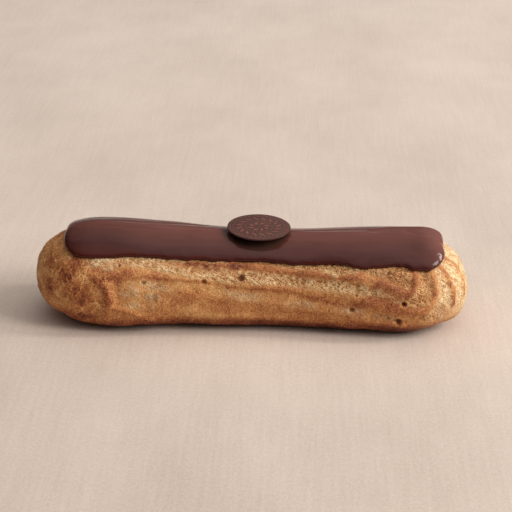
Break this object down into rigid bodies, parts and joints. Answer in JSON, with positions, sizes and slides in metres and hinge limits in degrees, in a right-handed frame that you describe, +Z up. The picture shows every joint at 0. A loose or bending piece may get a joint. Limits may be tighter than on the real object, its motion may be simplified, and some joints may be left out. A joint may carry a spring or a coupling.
{
  "type": "chocolate eclair",
  "caption": "Long baked choux pastry with a strip of dark chocolate icing along its top and a small round chocolate disc on the icing.",
  "frame": {"origin": "on the surface that the eclair stands on, under the middle of its bounding box", "axes": "+X along the eclair towards the end where the piped ridges turn up, -Y towards the front that shows them best, +Z up"},
  "size_m": [0.14, 0.0406, 0.0314],
  "materials": {
    "baked_choux": "rough golden brown baked crust",
    "icing_chocolate": "satin dark chocolate icing",
    "disc_chocolate": "matt dark chocolate"
  },
  "bodies": {
    "root": {"choux_shell": "baked_choux", "chocolate_icing": "icing_chocolate", "chocolate_disc": "disc_chocolate"}
  },
  "joints": []
}
